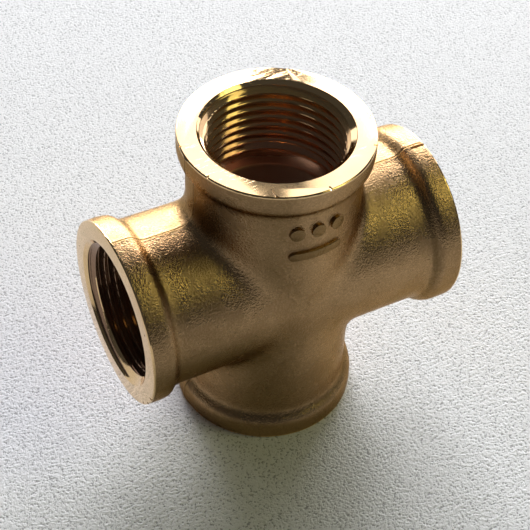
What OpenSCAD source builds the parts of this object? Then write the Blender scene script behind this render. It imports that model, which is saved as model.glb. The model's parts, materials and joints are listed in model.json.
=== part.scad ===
// Equal cross for G 3/4 pipe threads: one hot-forged brass body with four female ports.
// The two runs cross at the origin. One run lies along Z and the other along X.

/* [Runs] */
// Distance from the centre of the cross to each port face
centre_to_face = 31; // [29:0.5:38]
// Outer diameter of the forged tube between the centre and a bead
tube_d = 31; // [30:0.1:33]
// Radius of the rounded inner corners where the two runs meet
blend_r = 2.8; // [1:0.1:4]

/* [Beads] */
// Outer diameter of the bead that reinforces each port
bead_d = 34.2; // [33.6:0.1:37]
// Length of the bead's straight outer side, with its rounded edge
bead_w = 3.9; // [2.5:0.1:5]
// Length over which the bead sweeps down to the tube
bead_sweep = 1.6; // [0.8:0.1:2.5]
// Radius of the bead's rounded edge at the port face
edge_r = 0.4; // [0.2:0.05:0.8]

/* [Ports] */
// Minor diameter of the pipe thread, which is the diameter of the tapped wall
thread_minor_d = 24.117; // [23.9:0.001:24.3]
// Outer diameter of the chamfer at each port's mouth
mouth_d = 27; // [26.5:0.1:28]
// Depth of the tapped wall below the port face
tapped_depth = 18; // [14:0.5:18]
// Diameter of the passage that joins the four ports
passage_d = 23.4; // [20:0.1:23.6]

/* [Cast mark] */
// Height of the raised mark above the tube
mark_h = 0.4; // [0.2:0.05:0.6]
// Diameter of each raised dot
mark_dot_d = 2.6; // [1.5:0.1:3.2]
// Distance between neighbouring dots
mark_dot_step = 3.8; // [3.4:0.1:4.2]
// Length of the raised bar under the dots, with its round ends
mark_bar_l = 10; // [6:0.5:12]
// Width of the raised bar
mark_bar_w = 1.7; // [1:0.1:2.4]

/* [Hidden] */
$fn = 96;

tube_r = tube_d / 2;
bead_r = bead_d / 2;
minor_r = thread_minor_d / 2;
mouth_r = mouth_d / 2;
passage_r = passage_d / 2;

// Places along a run, measured from the centre of the cross
bead_start = centre_to_face - bead_w;
sweep_start = bead_start - bead_sweep;
tapped_start = centre_to_face - tapped_depth;
mouth_start = centre_to_face - (mouth_r - minor_r);

// The chamfer's cone is carried past the port face so that it cuts clean
overcut = 0.5;

// Rounded inner corner: a ball of radius blend_r rolls along both tubes at once
blend_path_r = tube_r + blend_r;
blend_reach = 86;
blend_steps = 32;
blend_facets = 8;
// The blend's edges sit this far under the tube's surface so that they join it
blend_sink = 0.03;

mark_dot_count = 3;
mark_dot_z = 21.2;
mark_bar_z = 16;

function swept_step(t) = tube_r + (bead_r - tube_r) * (1 - cos(180 * t)) / 2;

// Outline of half a run, from the centre out to the port face
function skin_outline() = concat(
    [[tube_r, 0]],
    [for (t = [0 : 0.125 : 1]) [swept_step(t), sweep_start + bead_sweep * t]],
    [for (a = [0 : 22.5 : 90])
        [bead_r - edge_r * (1 - cos(a)), centre_to_face - edge_r * (1 - sin(a))]]
);

// Outline of half the hole through a run, from the centre out past the port face
function hole_outline() = [
    [passage_r, 0],
    [passage_r, tapped_start - (minor_r - passage_r)],
    [minor_r, tapped_start],
    [minor_r, mouth_start],
    [mouth_r + overcut, centre_to_face + overcut]
];

function reversed(points) = [for (i = [len(points) - 1 : -1 : 0]) points[i]];

// Spins half an outline and its mirror image into a whole run along Z
module run(outline) {
    far = outline[len(outline) - 1][1];
    rotate_extrude()
        polygon(concat(
            [[0, -far]],
            [for (p = reversed(outline)) [p[0], -p[1]]],
            [for (i = [1 : len(outline) - 1]) outline[i]],
            [[0, far]]
        ));
}

// Points of the blend's cross-section where the rolling ball stands at angle a
function blend_section(a) =
    let (
        centre = blend_path_r * [cos(a), sin(a), cos(a)],
        to_upright = [-cos(a), -sin(a), 0],
        to_level = [0, -sin(a), -cos(a)],
        turn = acos(sin(a) * sin(a)),
        sunk_r = tube_r - blend_sink
    )
    concat(
        [[sunk_r * cos(a), sunk_r * sin(a), blend_path_r * cos(a)]],
        [for (i = [1 : blend_facets - 1])
            let (t = i / blend_facets)
            centre + blend_r * (sin((1 - t) * turn) * to_upright + sin(t * turn) * to_level) / sin(turn)],
        [[blend_path_r * cos(a), sunk_r * sin(a), sunk_r * cos(a)]],
        [[0.85 * tube_r * cos(a), sunk_r * sin(a), 0.85 * tube_r * cos(a)]]
    );

// The rounded inner corner between the +X and +Z arms, swept from front to back
module corner_blend() {
    n = blend_facets + 2;
    points = [
        for (k = [0 : blend_steps])
            each blend_section(-blend_reach + 2 * blend_reach * k / blend_steps)
    ];
    sides = [
        for (k = [0 : blend_steps - 1], i = [0 : n - 1])
            let (a = k * n + i, b = k * n + (i + 1) % n)
            each [[a, a + n, b], [b, a + n, b + n]]
    ];
    front = [for (i = [0 : n - 3]) [n - 1, i, i + 1]];
    back = [for (f = front) [for (i = [2, 1, 0]) f[i] + blend_steps * n]];
    polyhedron(points, concat(sides, front, back));
}

// A rounded bar that points at the mark's side of the tube
module radial_bar(l, w) {
    depth = tube_r + 1;
    rotate([90, 0, 0]) {
        translate([-(l - w) / 2, -w / 2, 0])
            cube([l - w, w, depth]);
        for (side = [-1, 1])
            translate([side * (l - w) / 2, 0, 0])
                cylinder(d = w, h = depth, $fn = 32);
    }
}

// Raised dots over a raised bar, on the upper arm's front
module cast_mark() {
    intersection() {
        cylinder(r = tube_r + mark_h, h = bead_start);
        union() {
            for (i = [0 : mark_dot_count - 1])
                translate([(i - (mark_dot_count - 1) / 2) * mark_dot_step, 0, mark_dot_z])
                    rotate([90, 0, 0])
                        cylinder(d = mark_dot_d, h = tube_r + 1, $fn = 32);
            translate([0, 0, mark_bar_z])
                radial_bar(mark_bar_l, mark_bar_w);
        }
    }
}

module cross_body() {
    color([0.71, 0.55, 0.30])
        difference() {
            union() {
                run(skin_outline());
                rotate([0, 90, 0])
                    run(skin_outline());
                for (a = [0 : 90 : 270])
                    rotate([0, a, 0])
                        corner_blend();
                cast_mark();
            }
            run(hole_outline());
            rotate([0, 90, 0])
                run(hole_outline());
        }
}

cross_body();
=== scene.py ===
import json
import math
import random

import bpy
from mathutils import Matrix, Vector

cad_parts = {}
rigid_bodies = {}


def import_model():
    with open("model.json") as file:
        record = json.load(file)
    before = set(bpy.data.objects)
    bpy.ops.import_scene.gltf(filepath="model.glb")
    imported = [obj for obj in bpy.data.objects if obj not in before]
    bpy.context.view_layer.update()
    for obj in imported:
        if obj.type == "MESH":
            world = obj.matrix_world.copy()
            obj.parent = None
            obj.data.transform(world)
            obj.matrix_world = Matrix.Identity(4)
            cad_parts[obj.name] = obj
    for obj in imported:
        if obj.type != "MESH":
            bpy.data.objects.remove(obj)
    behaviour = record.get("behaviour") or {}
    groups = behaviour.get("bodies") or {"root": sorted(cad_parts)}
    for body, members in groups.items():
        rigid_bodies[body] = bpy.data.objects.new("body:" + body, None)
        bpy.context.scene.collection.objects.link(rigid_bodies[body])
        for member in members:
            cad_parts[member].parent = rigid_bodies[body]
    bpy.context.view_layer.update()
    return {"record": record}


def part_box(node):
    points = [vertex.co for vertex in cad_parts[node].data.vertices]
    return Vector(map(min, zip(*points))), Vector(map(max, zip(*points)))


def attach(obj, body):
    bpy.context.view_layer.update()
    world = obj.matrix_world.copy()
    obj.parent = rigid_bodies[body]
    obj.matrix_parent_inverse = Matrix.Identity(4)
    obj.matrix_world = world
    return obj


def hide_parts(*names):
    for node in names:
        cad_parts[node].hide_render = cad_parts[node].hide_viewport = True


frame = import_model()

mm = 0.001

lowCorner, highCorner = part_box("cross_body")
mounts = {m["name"]: m for m in frame["record"]["mounts"]}

# the forged and machined body, in millimetres from the crossing of its two runs
cross = {
    "face": highCorner[2] / mm,  # centre to port face
    "bead": highCorner[1] / mm,  # outer radius of a port's bead
    "tube": 15.5,  # outer radius between the beads
    "beadWidth": 3.9,
    "beadSweep": 1.6,
    "edgeRound": 0.35,  # rounded outer edge of a port face
    "mouth": 13.5,  # radius of the chamfer at a port's mouth
    "minor": mounts["top_port"]["dims"]["r_mm"],  # radius over the thread crests
    "tappedDepth": 18.0,
    "passage": 11.7,  # radius of the way through
    "grainCell": 0.515,  # edge length of the forged skin's mesh
    "creaseReach": 21.0,  # how far out the rounded inner corners are smoothed
    "creaseWidth": 4.5,
}


def deselectAll():
    bpy.ops.object.select_all(action="DESELECT")


def selectOnly(piece):
    deselectAll()
    piece.select_set(True)
    bpy.context.view_layer.objects.active = piece


def applyModifier(piece, modifier):
    selectOnly(piece)
    bpy.ops.object.modifier_apply(modifier=modifier.name)


# a solid of revolution: a disc at the first height, pulled along the axis ring by ring
def turned(name, outline, steps=144):
    radius, height = outline[0]
    deselectAll()
    bpy.ops.mesh.primitive_circle_add(
        vertices=steps, radius=radius * mm, fill_type="NGON", location=(0, 0, height * mm)
    )
    piece = bpy.context.object
    piece.name = name
    bpy.ops.object.transform_apply(location=True, rotation=True, scale=True)
    bpy.ops.object.mode_set(mode="EDIT")
    bpy.ops.mesh.select_all(action="SELECT")
    for nextRadius, nextHeight in outline[1:]:
        bpy.ops.mesh.extrude_region_move(
            TRANSFORM_OT_translate={"value": (0, 0, (nextHeight - height) * mm)}
        )
        ratio = nextRadius / radius
        bpy.ops.transform.resize(value=(ratio, ratio, 1), center_override=(0, 0, nextHeight * mm))
        radius, height = nextRadius, nextHeight
    bpy.ops.mesh.select_all(action="SELECT")
    bpy.ops.mesh.normals_make_consistent(inside=False)
    bpy.ops.object.mode_set(mode="OBJECT")
    return piece


# a copy with its own mesh, turned about the Y axis
def turnedCopy(piece, name, degrees):
    selectOnly(piece)
    bpy.ops.object.duplicate()
    other = bpy.context.object
    other.name = name
    other.rotation_euler = (0, math.radians(degrees), 0)
    bpy.ops.object.transform_apply(location=True, rotation=True, scale=True)
    return other


# joins, cuts or keeps what is shared, and removes the second piece
def combine(piece, other, operation):
    join = piece.modifiers.new("join", "BOOLEAN")
    join.operation = operation
    join.solver = "MANIFOLD"
    join.object = other
    applyModifier(piece, join)
    bpy.data.objects.remove(other)


# half an outline and its mirror image below the middle
def mirroredOutline(half):
    return [(r, -z) for r, z in reversed(half)] + list(half)


# what is left of the flash where the two die halves met, on the plane y = 0
parting = {
    "height": 0.09,
    "halfWidth": 0.6,
    "notch": (3.4, 0.5, 0.34),  # along, across and into the bead
}


# outline of half a run before turning
def beadOutline():
    start = cross["face"] - cross["beadWidth"]
    rise = cross["bead"] - cross["tube"]
    points = []
    for i in range(9):
        t = i / 8
        height = start - cross["beadSweep"] * (1 - t)
        points.append((cross["tube"] + rise * (1 - math.cos(math.pi * t)) / 2, height))
    points.append((cross["bead"], cross["face"] + 1.0))  # stock that the turning takes off
    return points


# both runs joined, their inner corners rounded, with the uneven skin of a forging
def forgedSkin():
    upright = turned("forgedSkin", mirroredOutline(beadOutline()))
    level = turnedCopy(upright, "levelRun", 90)
    combine(upright, level, "UNION")
    cells = upright.modifiers.new("cells", "REMESH")
    cells.mode = "VOXEL"
    cells.voxel_size = cross["grainCell"] * mm
    applyModifier(upright, cells)

    # the rounded inner corners, where the two runs meet
    crease = upright.vertex_groups.new(name="crease")
    reach, width = cross["creaseReach"], cross["creaseWidth"]
    for v in upright.data.vertices:
        x, y, z = (c / mm for c in v.co)
        away = abs(abs(x) - abs(z)) / math.sqrt(2)
        if max(abs(x), abs(z)) < reach and away < width:
            crease.add([v.index], 1 - (away / width) ** 2, "REPLACE")
    blend = upright.modifiers.new("blend", "SMOOTH")
    blend.factor = 0.5
    blend.iterations = 90
    blend.vertex_group = "crease"
    applyModifier(upright, blend)
    again = upright.modifiers.new("again", "REMESH")
    again.mode = "VOXEL"
    again.voxel_size = cross["grainCell"] * mm
    applyModifier(upright, again)
    soften = upright.modifiers.new("soften", "SMOOTH")
    soften.factor = 0.5
    soften.iterations = 14
    applyModifier(upright, soften)

    # the ridge along the parting line
    seam = upright.vertex_groups.new(name="seam")
    for v in upright.data.vertices:
        off = abs(v.co.y / mm)
        if off < parting["halfWidth"]:
            seam.add([v.index], 1 - (off / parting["halfWidth"]) ** 2, "REPLACE")
    ridge = upright.modifiers.new("ridge", "DISPLACE")
    ridge.strength = parting["height"] * mm
    ridge.mid_level = 0
    ridge.vertex_group = "seam"
    applyModifier(upright, ridge)

    # shallow waves of the die, and the grain left by shot blasting
    for name, size, strength in (("dieWaves", 5.0, 0.05), ("blastGrain", 0.9, 0.03)):
        pattern = bpy.data.textures.new(name, "CLOUDS")
        pattern.noise_scale = size * mm
        pattern.noise_depth = 1
        push = upright.modifiers.new(name, "DISPLACE")
        push.texture = pattern
        push.texture_coords = "LOCAL"
        push.strength = strength * mm
        push.mid_level = 0.5
        applyModifier(upright, push)
    print("forged skin:", len(upright.data.polygons), "faces")
    return upright


# everything outside the turned faces and edges is cut away
def turnedEnvelope():
    face, edge = cross["face"], cross["edgeRound"]
    clear = cross["bead"] + 1.5
    half = [(clear, face - 2.0), (cross["bead"] + 0.12, face - edge)]
    for i in range(1, 6):
        a = math.pi / 2 * i / 5
        half.append((cross["bead"] - edge * (1 - math.cos(a)), face - edge * (1 - math.sin(a))))
    upright = turned("turnedEnvelope", mirroredOutline(half), 192)
    level = turnedCopy(upright, "levelEnvelope", 90)
    combine(upright, level, "UNION")
    return upright


# the pipe thread: 14 turns to the inch, 55 degree flanks
thread = {
    "pitch": 25.4 / 14,
    "depth": 1.162,
    "fullDepth": 16.4,  # port face to the end of the tap
    "lead": 3.2,  # the tap's tapered end
    "opening": 0.51,  # sets how far round the first groove opens in the chamfer
    "steps": 56,
    "turns": 12,
}


# one V-shaped rib wound up the axis, with a rounded top
def threadRib():
    minor, depth = cross["minor"], thread["depth"]
    side = [
        (minor - 0.26, 0.895),
        (minor, 0.83),
        (minor + 0.16, 0.673),
        (minor + depth - 0.24, 0.277),
        (minor + depth - 0.07, 0.163),
    ]
    points = [(r, -z) for r, z in side]
    points += [(minor + depth, 0)] + [(r, z) for r, z in reversed(side)]
    turns = thread["turns"]
    start = cross["face"] + thread["opening"] - (turns - 1) * thread["pitch"]
    deselectAll()
    bpy.ops.mesh.primitive_circle_add(vertices=len(points), radius=mm, fill_type="NOTHING")
    rib = bpy.context.object
    rib.name = "threadRib"
    for v, (r, z) in zip(rib.data.vertices, points):
        v.co = (r * mm, 0, (start + z) * mm)
    wind = rib.modifiers.new("wind", "SCREW")
    wind.axis = "Z"
    wind.steps = thread["steps"]
    wind.render_steps = thread["steps"]
    wind.iterations = turns
    wind.screw_offset = thread["pitch"] * mm
    wind.use_merge_vertices = False
    applyModifier(rib, wind)
    bpy.ops.object.mode_set(mode="EDIT")
    bpy.ops.mesh.select_all(action="SELECT")
    bpy.ops.mesh.fill_holes(sides=0)
    bpy.ops.mesh.select_all(action="SELECT")
    bpy.ops.mesh.normals_make_consistent(inside=False)
    bpy.ops.object.mode_set(mode="OBJECT")
    return rib


# the tap's ribs, the drilled hole and the mouth chamfer as one cutting tool for the upper port
def tapAndDrill():
    face, minor, passage = cross["face"], cross["minor"], cross["passage"]
    tapEnd = face - thread["fullDepth"]
    major = minor + thread["depth"]
    bottom = face - cross["tappedDepth"]
    taper = [(minor - 0.4, tapEnd - 0.3), (major + 0.05, tapEnd + thread["lead"])]
    reach = turned("tapReach", taper + [(major + 0.05, face + 2.5)])
    tool = threadRib()
    combine(tool, reach, "INTERSECT")
    edgeBreak = 0.12  # where the chamfer meets the face
    chamfer = [
        (minor - 0.05, face - (cross["mouth"] - minor) - 0.05),
        (cross["mouth"] - 0.02, face - edgeBreak),
        (cross["mouth"] + 0.1, face),
        (cross["mouth"] + 0.25, face + 1.0),
    ]
    hole = [(passage, -1.0), (passage, bottom - (minor - passage)), (minor, bottom), (minor, face - 2.0)]
    drill = turned("drill", hole + chamfer, 192)
    combine(tool, drill, "UNION")
    return tool


# small knocks: angle round the port, distance from its axis, length, width and depth
upperKnocks = [
    (-120.5, 15.75, 1.9, 0.2, 0.1),
    (-118.0, 16.75, 0.5, 0.4, 0.25),
    (-39.0, 16.75, 0.7, 0.4, 0.3),
    (-87.0, 16.85, 1.6, 0.5, 0.16),
    (52.0, 16.3, 0.9, 0.35, 0.12),
    (56.0, 15.6, 1.1, 0.25, 0.1),
    (59.5, 16.6, 0.8, 0.4, 0.2),
    (63.0, 15.2, 1.3, 0.18, 0.08),
    (70.0, 16.0, 1.6, 0.16, 0.07),
    (75.0, 16.4, 1.2, 0.18, 0.08),
    (78.0, 15.1, 0.8, 0.2, 0.07),
    (-160.0, 16.8, 0.8, 0.35, 0.2),
    (170.0, 16.8, 0.6, 0.3, 0.18),
    (-12.0, 16.8, 0.6, 0.35, 0.2),
    (20.0, 16.8, 0.5, 0.3, 0.16),
]
leftKnocks = [
    (-114.0, 16.9, 1.2, 0.4, 0.3),
    (-124.0, 16.95, 0.8, 0.5, 0.36),
    (-133.0, 16.9, 1.3, 0.4, 0.26),
    (-146.0, 16.9, 0.8, 0.5, 0.4),
    (-152.0, 16.95, 0.9, 0.4, 0.3),
    (60.0, 16.9, 0.7, 0.3, 0.2),
    (-60.0, 15.6, 0.5, 0.3, 0.14),
]


# small uneven balls along a port's rim, turned about the Y axis to the port
def knockCutters(knocks, turn):
    random.seed(7)
    cutters = []
    for angle, reach, length, width, depth in knocks:
        a = math.radians(angle)
        deselectAll()
        bpy.ops.mesh.primitive_ico_sphere_add(
            subdivisions=3,
            radius=0.5 * mm,
            location=(reach * math.cos(a) * mm, reach * math.sin(a) * mm, cross["face"] * mm),
        )
        cutter = bpy.context.object
        bpy.ops.object.mode_set(mode="EDIT")
        bpy.ops.mesh.select_all(action="SELECT")
        bpy.ops.transform.vertex_random(offset=0.05 * mm, seed=random.randint(1, 99))
        bpy.ops.object.mode_set(mode="OBJECT")
        cutter.scale = (length, width, depth * 2)
        cutter.rotation_euler = (0, 0, a + math.radians(random.uniform(-25, 25)))
        cutters.append(cutter)
    deselectAll()
    for cutter in cutters:
        cutter.select_set(True)
    bpy.context.view_layer.objects.active = cutters[0]
    bpy.ops.object.transform_apply(location=True, rotation=True, scale=True)
    for cutter in cutters:
        cutter.rotation_euler = (0, math.radians(turn), 0)
    bpy.ops.object.transform_apply(location=True, rotation=True, scale=True)
    return cutters


# plain raised mark on the upper arm's front: three dots over a bar
mark = {
    "height": 0.5,
    "softEdge": 0.14,
    "dot": 1.3,  # radius
    "dotStep": 3.8,
    "dotLevel": 21.2,
    "barLevel": 16.0,
    "barLength": 10.0,
    "barWidth": 1.7,
    "markDarkening": {"across": 6.5, "middle": 18.7, "tall": 4.6, "strength": 0.65},  # where the mark is darker
}


# the raised mark, rounded to follow the tube
def raisedMark():
    level = cross["tube"] + mark["height"]
    pieces = []
    for i in (-1, 0, 1):
        deselectAll()
        bpy.ops.mesh.primitive_cylinder_add(
            vertices=32,
            radius=mark["dot"] * mm,
            depth=6 * mm,
            location=(i * mark["dotStep"] * mm, -cross["tube"] * mm, mark["dotLevel"] * mm),
            rotation=(math.pi / 2, 0, 0),
        )
        pieces.append(bpy.context.object)
    straight = mark["barLength"] - mark["barWidth"]
    deselectAll()
    bpy.ops.mesh.primitive_cylinder_add(
        vertices=32,
        radius=mark["barWidth"] / 2 * mm,
        depth=6 * mm,
        location=(-straight / 2 * mm, -cross["tube"] * mm, mark["barLevel"] * mm),
        rotation=(math.pi / 2, 0, 0),
    )
    bar = bpy.context.object
    bpy.ops.object.transform_apply(location=True, rotation=True, scale=True)
    bpy.ops.object.mode_set(mode="EDIT")
    bpy.ops.mesh.select_all(action="DESELECT")
    bpy.ops.object.mode_set(mode="OBJECT")
    for v in bar.data.vertices:
        v.select = v.co.x > (-straight / 2 + 0.01) * mm
    bpy.ops.object.mode_set(mode="EDIT")
    bpy.ops.transform.translate(value=(straight * mm, 0, 0))
    bpy.ops.object.mode_set(mode="OBJECT")
    pieces.append(bar)
    for piece in pieces:
        selectOnly(piece)
        bpy.ops.object.transform_apply(location=True, rotation=True, scale=True)
        ends = (mark["barLevel"] - 3, mark["dotLevel"] + 3)
        shell = turned("markShell", [(level, end) for end in ends], 192)
        combine(piece, shell, "INTERSECT")
        soften = piece.modifiers.new("soften", "BEVEL")
        soften.limit_method = "ANGLE"
        soften.angle_limit = math.radians(40)
        soften.width = mark["softEdge"] * mm
        soften.segments = 2
        applyModifier(piece, soften)
    return pieces


# the notch that trimming the flash left in the right bead's edge
def flashNotch():
    along, across, into = parting["notch"]
    deselectAll()
    bpy.ops.mesh.primitive_cube_add(
        size=mm,
        location=((cross["face"] - along / 2 + 0.3) * mm, -0.65 * mm, cross["bead"] * mm),
        scale=(along, across, into * 2),
    )
    notch = bpy.context.object
    bpy.ops.object.transform_apply(location=True, rotation=True, scale=True)
    rounding = notch.modifiers.new("rounding", "BEVEL")
    rounding.width = 0.16 * mm
    rounding.segments = 2
    applyModifier(notch, rounding)
    return notch


# the forging, then the lathe, the drill and tap in each port, and the wear
def crossBody():
    body = forgedSkin()
    for piece in raisedMark():
        combine(body, piece, "UNION")
    combine(body, turnedEnvelope(), "INTERSECT")
    tool = tapAndDrill()
    for name, degrees in (("rightTap", 90), ("lowerTap", 180), ("leftTap", 270)):
        combine(body, turnedCopy(tool, name, degrees), "DIFFERENCE")
    combine(body, tool, "DIFFERENCE")
    wear = knockCutters(upperKnocks, 0) + knockCutters(leftKnocks, 270) + [flashNotch()]
    for cutter in wear:
        combine(body, cutter, "DIFFERENCE")
    body.name = "crossBody"
    body.data.name = "crossBody"
    print("cross body:", len(body.data.polygons), "faces")
    return body


# every effect is a group of shader nodes with named inputs and outputs
def newGroup(name, inputs, outputs):
    group = bpy.data.node_groups.new(name, "ShaderNodeTree")
    for label, kind, value in inputs:
        kind = "NodeSocket" + kind
        socket = group.interface.new_socket(name=label, in_out="INPUT", socket_type=kind)
        if value is not None:
            socket.default_value = value
    for label, kind in outputs:
        group.interface.new_socket(name=label, in_out="OUTPUT", socket_type="NodeSocket" + kind)
    return group, group.nodes.new("NodeGroupInput").outputs, group.nodes.new("NodeGroupOutput").inputs


# one node with its settings, and its inputs by number or by name
def place(tree, kind, inputs=(), **settings):
    node = tree.nodes.new("ShaderNode" + kind)
    for key, value in settings.items():
        setattr(node, key, value)
    for key, value in dict(inputs).items():
        if isinstance(value, bpy.types.NodeSocket):
            tree.links.new(value, node.inputs[key])
        else:
            node.inputs[key].default_value = value
    return node.outputs


def calc(tree, operation, a, b=0.0, clamp=False):
    return place(tree, "Math", {0: a, 1: b}, operation=operation, use_clamp=clamp)[0]


# a smooth step from one value to another
def remap(tree, value, low, high, outLow=0.0, outHigh=1.0):
    ends = {"From Min": low, "From Max": high, "To Min": outLow, "To Max": outHigh}
    return place(tree, "MapRange", {"Value": value, **ends}, interpolation_type="SMOOTHSTEP")[0]


def blendColor(tree, factor, first, second):
    node = tree.nodes.new("ShaderNodeMix")
    node.data_type = "RGBA"
    node.clamp_factor = True
    for socket, value in ((node.inputs[0], factor), (node.inputs[6], first), (node.inputs[7], second)):
        if isinstance(value, bpy.types.NodeSocket):
            tree.links.new(value, socket)
        else:
            socket.default_value = value
    return node.outputs[2]


# distance from the axis of the port that a point belongs to, and from the centre of the cross
def portRingGroup():
    group, given, made = newGroup(
        "portRing", [("Vector", "Vector", None)], [("Radius", "Float"), ("Along", "Float")]
    )
    x, y, z = place(group, "SeparateXYZ", {0: given["Vector"]})
    acrossX, acrossZ = calc(group, "ABSOLUTE", x), calc(group, "ABSOLUTE", z)
    side = calc(group, "MINIMUM", acrossX, acrossZ)
    squares = calc(group, "ADD", calc(group, "MULTIPLY", side, side), calc(group, "MULTIPLY", y, y))
    group.links.new(calc(group, "SQRT", squares), made["Radius"])
    group.links.new(calc(group, "MAXIMUM", acrossX, acrossZ), made["Along"])
    return group


# dimples of shot blasting, with finer grit on top
def blastGrainGroup():
    group, given, made = newGroup(
        "blastGrain",
        [("Vector", "Vector", None), ("Cells per metre", "Float", 2400.0)],
        [("Height", "Float"), ("Pits", "Float")],
    )
    fine = calc(group, "MULTIPLY", given["Cells per metre"], 2.3)
    where = {"Vector": given["Vector"], "Scale": given["Cells per metre"]}
    grit = place(group, "TexNoise", {**where, "Detail": 2.0, "Roughness": 0.6})[0]
    finer = place(group, "TexNoise", {"Vector": given["Vector"], "Scale": fine, "Detail": 1.0})[0]
    dimples = place(group, "TexVoronoi", where, feature="SMOOTH_F1")[0]
    height = calc(group, "MULTIPLY", grit, 0.4)
    height = calc(group, "ADD", height, calc(group, "MULTIPLY", dimples, 0.3))
    height = calc(group, "ADD", height, calc(group, "MULTIPLY", finer, 0.3))
    group.links.new(height, made["Height"])
    group.links.new(remap(group, height, 0.42, 0.62), made["Pits"])
    return group


# slow changes of tone over the metal
def mottleGroup():
    group, given, made = newGroup(
        "mottle",
        [("Vector", "Vector", None), ("Patches per metre", "Float", 150.0), ("Contrast", "Float", 1.0)],
        [("Tone", "Float")],
    )
    where = {"Vector": given["Vector"], "Scale": given["Patches per metre"]}
    large = place(group, "TexNoise", {**where, "Detail": 4.0, "Roughness": 0.55})[0]
    centred = calc(group, "SUBTRACT", large, 0.5)
    tone = calc(group, "ADD", calc(group, "MULTIPLY", centred, given["Contrast"]), 0.5, clamp=True)
    group.links.new(tone, made["Tone"])
    return group


# fine rings that a cutting tool leaves round a port's axis
def turningMarksGroup(portRing):
    group, given, made = newGroup(
        "turningMarks",
        [("Vector", "Vector", None), ("Rings per metre", "Float", 9000.0)],
        [("Height", "Float")],
    )
    ring = group.nodes.new("ShaderNodeGroup")
    ring.node_tree = portRing
    group.links.new(given["Vector"], ring.inputs["Vector"])
    along = calc(group, "MULTIPLY", ring.outputs["Along"], 0.6)
    reach = calc(group, "ADD", ring.outputs["Radius"], along)
    turns = calc(group, "MULTIPLY", reach, given["Rings per metre"])
    rings = {"W": turns, "Scale": 1.0, "Detail": 2.0}
    coarse = place(group, "TexNoise", rings, noise_dimensions="1D")[0]
    drift = place(group, "TexNoise", {"Vector": given["Vector"], "Scale": 90.0, "Detail": 1.0})[0]
    fade = remap(group, drift, 0.35, 0.65, 0.4, 1.0)
    group.links.new(calc(group, "MULTIPLY", coarse, fade), made["Height"])
    return group


# long thin scratches, gathered where the metal was rubbed
def scratchesGroup():
    group, given, made = newGroup(
        "scratches", [("Vector", "Vector", None), ("Amount", "Float", 0.5)], [("Mask", "Float")]
    )
    lines = 0.0
    for turn, stretch in ((0.5, 260.0), (1.9, 330.0), (2.7, 210.0)):
        thin = (stretch, stretch * 22, stretch * 5)
        laid = {"Vector": given["Vector"], "Rotation": (0.3, 0.2, turn), "Scale": thin}
        laid = place(group, "Mapping", laid)[0]
        streak = place(group, "TexNoise", {"Vector": laid, "Scale": 1.0, "Detail": 1.0})[0]
        lines = calc(group, "ADD", lines, remap(group, streak, 0.7, 0.76))
    rubbed = place(group, "TexNoise", {"Vector": given["Vector"], "Scale": 120.0, "Detail": 2.0})[0]
    edge = calc(group, "SUBTRACT", 1.0, given["Amount"])
    where = remap(group, rubbed, edge, calc(group, "ADD", edge, 0.12))
    group.links.new(calc(group, "MULTIPLY", lines, where, clamp=True), made["Mask"])
    return group


groups = {
    "portRing": portRingGroup(),
    "blastGrain": blastGrainGroup(),
    "mottle": mottleGroup(),
}
groups["turningMarks"] = turningMarksGroup(groups["portRing"])
groups["scratches"] = scratchesGroup()


def newMaterial(name):
    material = bpy.data.materials.new(name)
    material.use_nodes = True
    tree = material.node_tree
    coordinates = tree.nodes.new("ShaderNodeTexCoord").outputs["Object"]
    return material, tree, tree.nodes["Principled BSDF"].inputs, coordinates


def useGroup(tree, name, coordinates, **values):
    node = tree.nodes.new("ShaderNodeGroup")
    node.node_tree = groups[name]
    tree.links.new(coordinates, node.inputs["Vector"])
    for label, value in values.items():
        node.inputs[label.replace("_", " ")].default_value = value
    return node.outputs


def bump(tree, height, depth, strength=1.0, below=None):
    inputs = {"Height": height, "Distance": depth * mm, "Strength": strength}
    if below is not None:
        inputs["Normal"] = below
    return place(tree, "Bump", inputs)[0]


# forged and shot-blasted skin
forgedLook = {
    "light": (0.54, 0.355, 0.19, 1),
    "dark": (0.38, 0.24, 0.12, 1),
    # dark brown of the pits, also used for the painted shade under the beads and along the parting line,
    # and for the darker raised mark
    "pitAndShade": (0.16, 0.10, 0.04, 1),
    "edgeTint": (0.72, 0.58, 0.42, 1),
    "roughness": (0.22, 0.3),
    "grainDepth": 0.18,
    "grainCells": 2800.0,  # per metre
    # strength of the grime and painted shade in the crease under each bead
    "creaseShadeAndGrime": 0.45,
    "partingShadeLine": (0.09, 0.2),  # half width of the painted shade line along the parting ridge, and where it fades out
}


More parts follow.
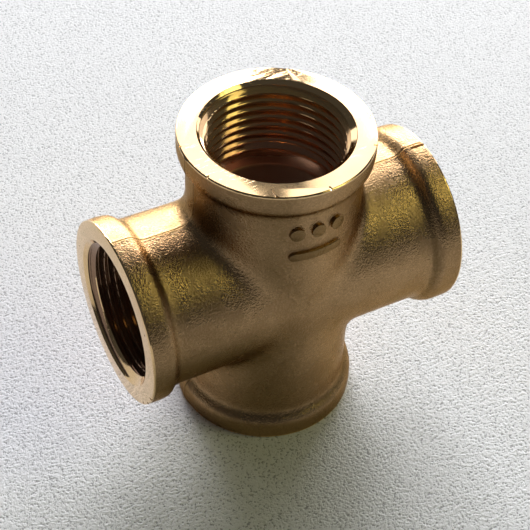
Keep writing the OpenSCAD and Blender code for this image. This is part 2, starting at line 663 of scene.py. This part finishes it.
def forgedBrass():
    material, tree, surface, where = newMaterial("forgedBrass")
    ring = useGroup(tree, "portRing", where)
    grain = useGroup(tree, "blastGrain", where, Cells_per_metre=forgedLook["grainCells"])
    tone = useGroup(tree, "mottle", where, Patches_per_metre=140.0, Contrast=1.9)["Tone"]
    color = blendColor(tree, tone, forgedLook["dark"], forgedLook["light"])
    pits = calc(tree, "MULTIPLY", calc(tree, "SUBTRACT", 1.0, grain["Pits"]), 0.35)
    color = blendColor(tree, pits, color, forgedLook["pitAndShade"])
    # grime and painted shade in the corner under each bead
    corner = (cross["face"] - cross["beadWidth"] - cross["beadSweep"] * 0.8) * mm
    off = calc(tree, "ABSOLUTE", calc(tree, "SUBTRACT", ring["Along"], corner))
    creaseShadeAndGrime = remap(tree, off, 0.15 * mm, 0.7 * mm, forgedLook["creaseShadeAndGrime"], 0.0)
    color = blendColor(tree, creaseShadeAndGrime, color, forgedLook["pitAndShade"])
    # the parting line, with a painted shade line along its ridge
    x, y, z = place(tree, "SeparateXYZ", {0: where})
    solid, faded = (edge * mm for edge in forgedLook["partingShadeLine"])
    line = remap(tree, calc(tree, "ABSOLUTE", y), solid, faded, 1.0, 0.0)
    line = calc(tree, "MULTIPLY", line, remap(tree, ring["Along"], 16.5 * mm, 18 * mm))
    color = blendColor(tree, line, color, forgedLook["pitAndShade"])
    # darker colour over the raised mark
    markDarkening, tube = mark["markDarkening"], cross["tube"]
    proud = remap(tree, ring["Radius"], (tube + 0.2) * mm, (tube + 0.34) * mm, 0.0, markDarkening["strength"])
    across, tall = markDarkening["across"] * mm, markDarkening["tall"] * mm
    near = remap(tree, calc(tree, "ABSOLUTE", x), across, across + 1.0 * mm, 1.0, 0.0)
    level = calc(tree, "ABSOLUTE", calc(tree, "SUBTRACT", z, markDarkening["middle"] * mm))
    near = calc(tree, "MULTIPLY", near, remap(tree, level, tall, tall + 0.6 * mm, 1.0, 0.0))
    near = calc(tree, "MULTIPLY", near, calc(tree, "LESS_THAN", y, 0.0))
    color = blendColor(tree, calc(tree, "MULTIPLY", proud, near), color, forgedLook["pitAndShade"])
    tree.links.new(color, surface["Base Color"])
    low, high = forgedLook["roughness"]
    tree.links.new(remap(tree, tone, 0.2, 0.8, high, low), surface["Roughness"])
    surface["Metallic"].default_value = 1.0
    surface["Specular Tint"].default_value = forgedLook["edgeTint"]
    trimmed = bump(tree, calc(tree, "SUBTRACT", 1.0, line), 0.1)
    blasted = bump(tree, grain["Height"], forgedLook["grainDepth"], 1.0, trimmed)
    tree.links.new(blasted, surface["Normal"])
    return material


# faces, edges and chamfers cut on a lathe
turnedLook = {
    "light": (0.94, 0.67, 0.36, 1),
    "dark": (0.83, 0.56, 0.28, 1),
    "scratch": (0.45, 0.30, 0.14, 1),
    "roughness": (0.05, 0.1),
}


def turnedBrass():
    material, tree, surface, where = newMaterial("turnedBrass")
    tone = useGroup(tree, "mottle", where, Patches_per_metre=110.0, Contrast=1.6)["Tone"]
    marks = useGroup(tree, "turningMarks", where, Rings_per_metre=9000.0)["Height"]
    scratches = useGroup(tree, "scratches", where, Amount=0.55)["Mask"]
    color = blendColor(tree, tone, turnedLook["dark"], turnedLook["light"])
    color = blendColor(tree, calc(tree, "MULTIPLY", scratches, 0.5), color, turnedLook["scratch"])
    tree.links.new(color, surface["Base Color"])
    low, high = turnedLook["roughness"]
    rough = remap(tree, tone, 0.25, 0.8, high, low)
    rough = calc(tree, "ADD", rough, calc(tree, "MULTIPLY", scratches, 0.2))
    tree.links.new(rough, surface["Roughness"])
    surface["Metallic"].default_value = 1.0
    rings = bump(tree, marks, 0.0025)
    tree.links.new(bump(tree, scratches, 0.01, 1.0, rings), surface["Normal"])
    return material


# the tapped walls and the way through
tappedLook = {
    "light": (0.58, 0.39, 0.18, 1),
    "dark": (0.46, 0.23, 0.14, 1),
    "darkened": (0.31, 0.185, 0.12, 1),  # darker brown for the left port, and painted shade in the way through
    "metallic": 0.78,  # the rest is a brown film
    "roughness": (0.07, 0.13),
    "leftDarkening": (-16.0, -12.0),  # along X, from fully darkened to unchanged
    "bottom": (13.0, 17.0),  # from the centre, where the tap left the wall rough
    "bottomRough": 0.3,
    "passageRough": 0.35,
}


def tappedBrass():
    material, tree, surface, where = newMaterial("tappedBrass")
    ring = useGroup(tree, "portRing", where)
    tone = useGroup(tree, "mottle", where, Patches_per_metre=220.0, Contrast=1.8)["Tone"]
    marks = useGroup(tree, "turningMarks", where, Rings_per_metre=7000.0)["Height"]
    # painted shade: the wall is darker deeper into the port
    inward = remap(tree, ring["Along"], 12 * mm, cross["face"] * mm)
    factor = calc(tree, "MULTIPLY", calc(tree, "ADD", tone, 0.35, clamp=True), inward, clamp=True)
    color = blendColor(tree, factor, tappedLook["dark"], tappedLook["light"])
    x = place(tree, "SeparateXYZ", {0: where})[0]
    # the left port's wall is darker brown towards -X
    darkest, undarkened = (edge * mm for edge in tappedLook["leftDarkening"])
    color = blendColor(tree, remap(tree, x, darkest, undarkened, 0.85, 0.0), color, tappedLook["darkened"])
    passage, minor = cross["passage"] * mm, cross["minor"] * mm
    # painted shade: the way through is darker
    deep = remap(tree, ring["Radius"], passage + 0.08 * mm, minor - 0.08 * mm, 0.9, 0.0)
    color = blendColor(tree, deep, color, tappedLook["darkened"])
    tree.links.new(color, surface["Base Color"])
    low, high = tappedLook["roughness"]
    rough = remap(tree, tone, 0.2, 0.8, high, low)
    rough = calc(tree, "ADD", rough, calc(tree, "MULTIPLY", deep, tappedLook["passageRough"]))
    inner, outer = (edge * mm for edge in tappedLook["bottom"])
    torn = remap(tree, ring["Along"], inner, outer, tappedLook["bottomRough"], 0.0)
    tree.links.new(calc(tree, "ADD", rough, torn), surface["Roughness"])
    surface["Metallic"].default_value = tappedLook["metallic"]
    tree.links.new(bump(tree, marks, 0.0015), surface["Normal"])
    return material


# which surface a face of the body has, from its place and its direction
def dressBody(body):
    forged, lathed, tapped = range(3)
    body.data.materials.clear()
    for material in (forgedBrass(), turnedBrass(), tappedBrass()):
        body.data.materials.append(material)
    face, bead, mouth = cross["face"] * mm, cross["bead"] * mm, cross["mouth"] * mm
    chamferEnd = face - (cross["mouth"] - cross["minor"]) * mm
    for f in body.data.polygons:
        c, n = f.center, f.normal
        upright = abs(c.z) > abs(c.x)
        along, side = (abs(c.z), c.x) if upright else (abs(c.x), c.z)
        radius = math.hypot(side, c.y)
        outward = (n.z * c.z if upright else n.x * c.x) / along
        portFace = along > face - 0.02 * mm and outward > 0.9
        portEdge = along > face - cross["edgeRound"] * mm and radius > bead - 0.5 * mm
        chamfer = along > chamferEnd - 0.1 * mm and 0.5 < outward < 0.8
        inside = radius < mouth + 0.2 * mm
        if portFace or portEdge or (inside and chamfer):
            f.material_index = lathed
        elif inside:
            f.material_index = tapped
        else:
            f.material_index = forged
    print("surfaces:", len(body.data.materials), "materials")


body = crossBody()
dressBody(body)
selectOnly(body)
bpy.ops.object.shade_smooth_by_angle(angle=math.radians(38))

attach(body, "root")
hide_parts("cross_body")

# where the camera stands, in degrees and metres
camera = {
    "azimuth": -30.2,
    "elevation": 45.34,
    "roll": 3.31,
    "distance": 0.2576,
    "aimRight": -0.00071,
    "aimUp": -0.00106,
    "lens": 95.3,
}


def placeCamera():
    az, el, roll = (math.radians(camera[k]) for k in ("azimuth", "elevation", "roll"))
    back = Vector((math.sin(az) * math.cos(el), -math.cos(az) * math.cos(el), math.sin(el)))
    right = Vector((math.cos(az), math.sin(az), 0))
    up = back.cross(right)
    spot = right * camera["aimRight"] + up * camera["aimUp"] + back * camera["distance"]
    rightRolled = right * math.cos(roll) + up * math.sin(roll)
    upRolled = up * math.cos(roll) - right * math.sin(roll)
    view = Matrix((rightRolled, upRolled, back)).transposed().to_4x4()
    view.translation = spot
    data = bpy.data.cameras.new("camera")
    data.lens = camera["lens"]
    data.sensor_width = 36
    data.clip_start = 0.01
    placed = bpy.data.objects.new("camera", data)
    bpy.context.collection.objects.link(placed)
    placed.matrix_world = view
    bpy.context.scene.camera = placed


floorLook = {
    "size": 6,  # metres
    "grainCells": 1900.0,  # per metre
    "patches": 500.0,
    "dark": (0.68, 0.68, 0.68, 1),
    "light": (0.76, 0.76, 0.76, 1),
    "speck": (0.25, 0.25, 0.25, 1),
    "roughness": 0.6,
    "reliefDepth": 0.36,
    "relief": (-0.06, 0.07, 1.25, 0.6),  # two places along Y, and the share of the relief at each
}


# pale floor with a faint grain, flatter towards the back
def paleFloor():
    deselectAll()
    bpy.ops.mesh.primitive_plane_add(size=floorLook["size"], location=(0, 0, lowCorner[2]))
    floor = bpy.context.object
    floor.name = "floor"
    material, tree, surface, where = newMaterial("paleFloor")
    grain = useGroup(tree, "blastGrain", where, Cells_per_metre=floorLook["grainCells"])
    tone = useGroup(tree, "mottle", where, Patches_per_metre=floorLook["patches"], Contrast=1.5)["Tone"]
    color = blendColor(tree, tone, floorLook["dark"], floorLook["light"])
    specks = remap(tree, grain["Height"], 0.39, 0.43, 0.8, 0.0)
    color = blendColor(tree, specks, color, floorLook["speck"])
    tree.links.new(color, surface["Base Color"])
    surface["Roughness"].default_value = floorLook["roughness"]
    y = place(tree, "SeparateXYZ", {0: where})[1]
    relief = calc(tree, "MULTIPLY", grain["Height"], remap(tree, y, *floorLook["relief"]))
    tree.links.new(bump(tree, relief, floorLook["reliefDepth"]), surface["Normal"])
    floor.data.materials.append(material)
    print("floor: ready")


# a soft rectangle of light at a place, facing the cross from the given direction
def softLight(name, spot, towards, width, tall, radiance, color):
    deselectAll()
    bpy.ops.object.light_add(type="AREA", location=spot)
    panel = bpy.context.object
    panel.name = name
    panel.rotation_euler = towards.to_track_quat("Z", "Y").to_euler()
    panel.data.shape = "RECTANGLE"
    panel.data.size = width
    panel.data.size_y = tall
    panel.data.energy = radiance * math.pi * width * tall
    panel.data.color = color


# a wide window in a wall: two bright lower panes and two dimmer upper ones
window = {
    "bearing": 30.45,  # clockwise from +Y
    "distance": 2.4,
    "halfWidth": 1.2,
    "bar": 0.18,  # between the left and right panes
    "heights": (0.08, 1.9, 3.6),
    "radiance": (13.2, 2.2),
    "side": (2.7, 2.4, 1.9),  # outer edge, top and radiance of the wall lit beside it
    "color": (0.94, 0.945, 1.0),
}


def windowPane(name, near, far, low, high, radiance):
    b = math.radians(window["bearing"])
    towards = Vector((math.sin(b), math.cos(b), 0))
    aside = Vector((math.cos(b), -math.sin(b), 0))
    spot = towards * window["distance"] + aside * (near + far) / 2
    spot.z = (low + high) / 2 + lowCorner[2]
    softLight(name, spot, towards, far - near, high - low, radiance, window["color"])


# yellowish light thrown back by the ceiling and a wall: bearing and height in degrees
bounces = {
    "distance": 1.2,
    "color": (0.96, 0.98, 0.44),
    "panels": [
        {"name": "ceilingBounce", "place": (114.5, 50.0), "size": (0.2, 0.6), "radiance": 2.3},
        {"name": "wallBounce", "place": (133.0, 43.0), "size": (0.36, 0.5), "radiance": 2.4},
    ],
}
room = {"color": (0.95, 0.97, 1.0, 1), "strength": 0.055}


def studioLight():
    half, bar = window["halfWidth"], window["bar"] / 2
    low, middle, high = window["heights"]
    bright, dim = window["radiance"]
    windowPane("leftPane", -half, -bar, low, middle, bright)
    windowPane("rightPane", bar, half, low, middle, bright)
    windowPane("upperLeftPane", -half, -bar, middle, high, dim)
    windowPane("upperRightPane", bar, half, middle, high, dim)
    edge, top, glow = window["side"]
    windowPane("leftWall", -edge, -half, low, top, glow)
    windowPane("rightWall", half, edge, low, top, glow)
    for panel in bounces["panels"]:
        b, h = (math.radians(angle) for angle in panel["place"])
        towards = Vector((math.sin(b) * math.cos(h), math.cos(b) * math.cos(h), math.sin(h)))
        spot = towards * bounces["distance"]
        softLight(panel["name"], spot, towards, *panel["size"], panel["radiance"], bounces["color"])
    world = bpy.data.worlds.new("room")
    bpy.context.scene.world = world
    world.use_nodes = True
    background = world.node_tree.nodes["Background"].inputs
    background["Color"].default_value = room["color"]
    background["Strength"].default_value = room["strength"]
    bpy.context.scene.view_settings.view_transform = "Standard"
    print("light: window, walls and", len(bounces["panels"]), "bounces")


placeCamera()
paleFloor()
studioLight()
